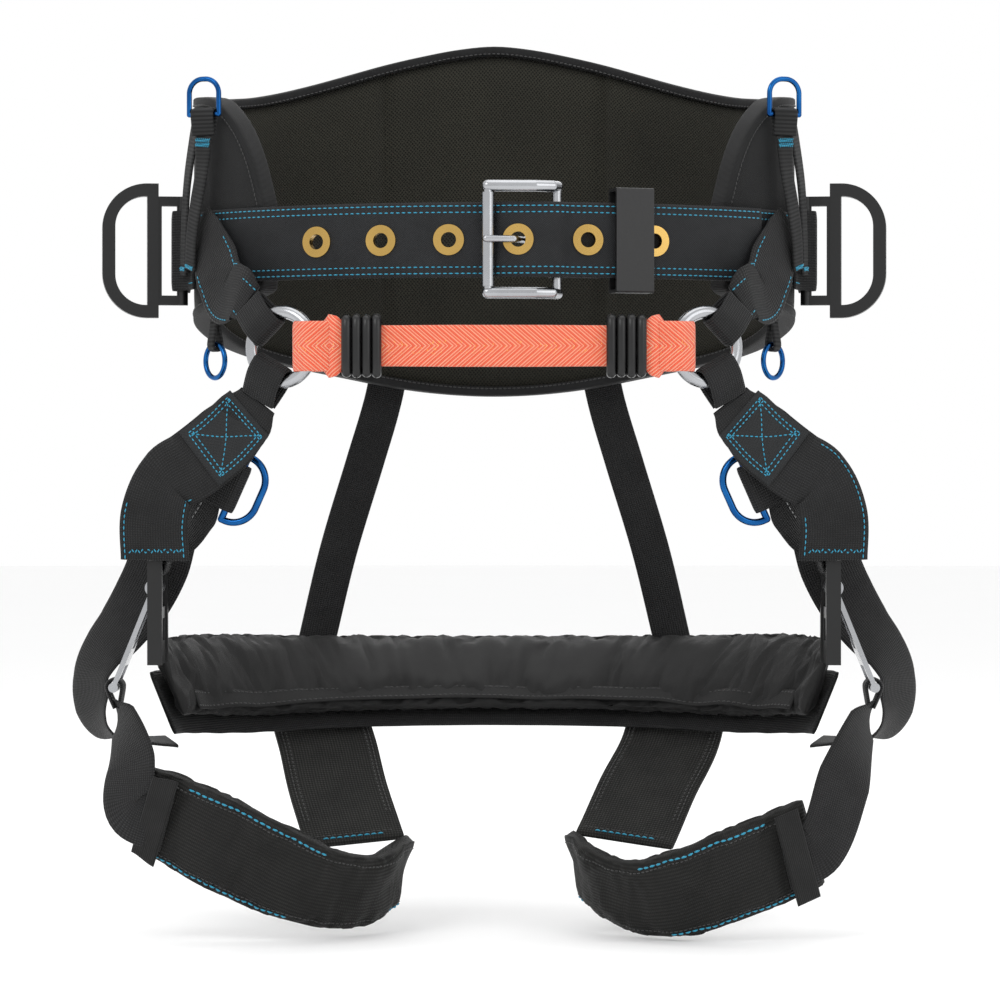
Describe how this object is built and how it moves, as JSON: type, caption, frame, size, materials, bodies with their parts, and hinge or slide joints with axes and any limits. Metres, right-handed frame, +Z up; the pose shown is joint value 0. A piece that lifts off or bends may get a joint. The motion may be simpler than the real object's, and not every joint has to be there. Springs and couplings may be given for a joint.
{
  "type": "climbing harness",
  "caption": "Work-positioning sit harness: padded waist belt with a prong buckle, side rings, a front bridge, a seat sling and two padded leg loops.",
  "frame": {"origin": "centre of the waist opening at the belt's mid height", "axes": "+Z up along the wearer's spine, +Y towards the wearer's back, +X towards the side that the belt's tail points to"},
  "size_m": [0.5316, 0.2917, 0.5681],
  "materials": {
    "pad_fabric": "matt woven nylon",
    "foam": "closed-cell foam, sealed inside",
    "pad_mesh": "spacer mesh",
    "binding": "grosgrain binding",
    "belt_webbing": "polyester webbing, smooth",
    "webbing": "polyester webbing, twill",
    "ribbed_webbing": "ribbed webbing",
    "sleeve_webbing": "coarse nylon fabric",
    "bridge_webbing": "orange tubular webbing",
    "seat_fabric": "nylon over foam",
    "leg_fabric": "nylon over foam",
    "elastic": "elastic webbing",
    "rubber": "moulded",
    "brass": "polished",
    "steel": "zinc plated",
    "black_metal": "black anodised aluminium",
    "blue_metal": "blue anodised"
  },
  "bodies": {
    "harness": {"back_pad_binding": "binding", "back_pad_foam": "foam", "back_pad_liner": "pad_mesh", "back_pad_shell": "pad_fabric", "belt_back_web": "belt_webbing", "belt_grommets": "brass", "belt_right": "belt_webbing", "belt_tongue": "belt_webbing", "bridge_webbing": "bridge_webbing", "buckle_frame": "steel", "left_gear_strap": "webbing", "left_hip_web": "webbing", "left_leg_web": "webbing", "left_leg_web_patch": "webbing", "left_riser": "webbing", "left_seat_tail": "webbing", "left_side_ring_loop": "webbing", "left_thigh_buckle_frame": "black_metal", "left_thigh_web": "webbing", "left_tool_straps": "ribbed_webbing", "right_gear_strap": "webbing", "right_hip_web": "webbing", "right_leg_web": "webbing", "right_leg_web_patch": "webbing", "right_riser": "webbing", "right_seat_tail": "webbing", "right_side_ring_loop": "webbing", "right_thigh_buckle_frame": "black_metal", "right_thigh_web": "webbing", "right_tool_straps": "ribbed_webbing", "seat_cover": "seat_fabric", "seat_foam": "foam", "seat_strap": "webbing"},
    "keeper": {"belt_keeper": "black_metal"},
    "prong": {"buckle_prong": "steel"},
    "roller": {"buckle_roller": "steel"},
    "left_bridge_bands": {"left_bridge_bands": "rubber"},
    "left_bridge_ring": {"left_bridge_ring": "steel"},
    "left_gear_ring": {"left_gear_ring": "blue_metal"},
    "left_leg_loop": {"left_leg_elastic": "elastic", "left_leg_pad": "leg_fabric", "left_leg_sleeve": "sleeve_webbing", "left_leg_strap": "webbing"},
    "left_side_ring": {"left_side_ring": "black_metal"},
    "left_buckle_plate": {"left_thigh_buckle_plate": "steel"},
    "left_thigh_ring": {"left_thigh_ring": "blue_metal"},
    "left_top_ring": {"left_top_ring": "blue_metal"},
    "right_bridge_bands": {"right_bridge_bands": "rubber"},
    "right_bridge_ring": {"right_bridge_ring": "steel"},
    "right_gear_ring": {"right_gear_ring": "blue_metal"},
    "right_leg_loop": {"right_leg_elastic": "elastic", "right_leg_pad": "leg_fabric", "right_leg_sleeve": "sleeve_webbing", "right_leg_strap": "webbing"},
    "right_side_ring": {"right_side_ring": "black_metal"},
    "right_buckle_plate": {"right_thigh_buckle_plate": "steel"},
    "right_thigh_ring": {"right_thigh_ring": "blue_metal"},
    "right_top_ring": {"right_top_ring": "blue_metal"}
  },
  "joints": [
    {"name": "prong_pivot", "type": "hinge", "parent": "harness", "child": "prong", "pos_m": [0.03787, -0.11848, 0], "axis": [0, 0, 1], "range_deg": [0, 4.5]},
    {"name": "roller_spin", "type": "hinge", "parent": "harness", "child": "roller", "pos_m": [-0.00358, -0.12821, 0], "axis": [0, 0, 1], "continuous": true},
    {"name": "keeper_slide", "type": "hinge", "parent": "harness", "child": "keeper", "pos_m": [0, 0.13855, 0], "axis": [0, 0, 1], "range_deg": [-1.2, 9]},
    {"name": "left_side_ring_hinge", "type": "hinge", "parent": "harness", "child": "left_side_ring", "pos_m": [-0.19554, -0.01201, 0], "axis": [0, 0, 1], "range_deg": [-35, 28]},
    {"name": "left_bridge_ring_spin", "type": "hinge", "parent": "harness", "child": "left_bridge_ring", "pos_m": [-0.1275, -0.114, -0.064], "axis": [0.4691, 0.8832, 0], "continuous": true},
    {"name": "left_bridge_bands_slide", "type": "slide", "parent": "harness", "child": "left_bridge_bands", "axis": [1, 0, 0], "range_m": [-0.002, 0.045]},
    {"name": "left_top_ring_hinge", "type": "hinge", "parent": "harness", "child": "left_top_ring", "pos_m": [-0.17838, -0.06098, 0.081], "axis": [-0.9368, 0.3499, 0], "range_deg": [-150, 18]},
    {"name": "left_gear_ring_hinge", "type": "hinge", "parent": "harness", "child": "left_gear_ring", "pos_m": [-0.17179, -0.05577, -0.06], "axis": [-0.6198, 0.7848, 0], "range_deg": [-60, 60]},
    {"name": "left_thigh_ring_hinge", "type": "hinge", "parent": "harness", "child": "left_thigh_ring", "pos_m": [-0.15784, -0.08385, -0.14867], "axis": [-0.4002, 0.06, -0.9145], "range_deg": [-50, 50]},
    {"name": "left_buckle_plate_hinge", "type": "hinge", "parent": "harness", "child": "left_buckle_plate", "pos_m": [-0.209, -0.052, -0.21], "axis": [0, 1, 0], "range_deg": [-3, 3]},
    {"name": "left_leg_loop_swing", "type": "hinge", "parent": "harness", "child": "left_leg_loop", "pos_m": [-0.23372, -0.052, -0.27119], "axis": [0.6616, 0.7326, -0.1599], "range_deg": [-4, 4], "deforming": ["left_leg_strap"]},
    {"name": "right_side_ring_hinge", "type": "hinge", "parent": "harness", "child": "right_side_ring", "pos_m": [0.19554, -0.01201, 0], "axis": [0, 0, 1], "range_deg": [-28, 35]},
    {"name": "right_bridge_ring_spin", "type": "hinge", "parent": "harness", "child": "right_bridge_ring", "pos_m": [0.1275, -0.114, -0.064], "axis": [-0.4691, 0.8832, 0], "continuous": true},
    {"name": "right_bridge_bands_slide", "type": "slide", "parent": "harness", "child": "right_bridge_bands", "axis": [-1, 0, 0], "range_m": [-0.002, 0.045]},
    {"name": "right_top_ring_hinge", "type": "hinge", "parent": "harness", "child": "right_top_ring", "pos_m": [0.17838, -0.06098, 0.081], "axis": [0.9368, 0.3499, 0], "range_deg": [-18, 150]},
    {"name": "right_gear_ring_hinge", "type": "hinge", "parent": "harness", "child": "right_gear_ring", "pos_m": [0.17179, -0.05577, -0.06], "axis": [0.6198, 0.7848, 0], "range_deg": [-60, 60]},
    {"name": "right_thigh_ring_hinge", "type": "hinge", "parent": "harness", "child": "right_thigh_ring", "pos_m": [0.15784, -0.08385, -0.14867], "axis": [0.4002, 0.06, -0.9145], "range_deg": [-50, 50]},
    {"name": "right_buckle_plate_hinge", "type": "hinge", "parent": "harness", "child": "right_buckle_plate", "pos_m": [0.209, -0.052, -0.21], "axis": [0, 1, 0], "range_deg": [-3, 3]},
    {"name": "right_leg_loop_swing", "type": "hinge", "parent": "harness", "child": "right_leg_loop", "pos_m": [0.23372, -0.052, -0.27119], "axis": [-0.6616, 0.7326, -0.1599], "range_deg": [-4, 4], "deforming": ["right_leg_strap"]}
  ]
}
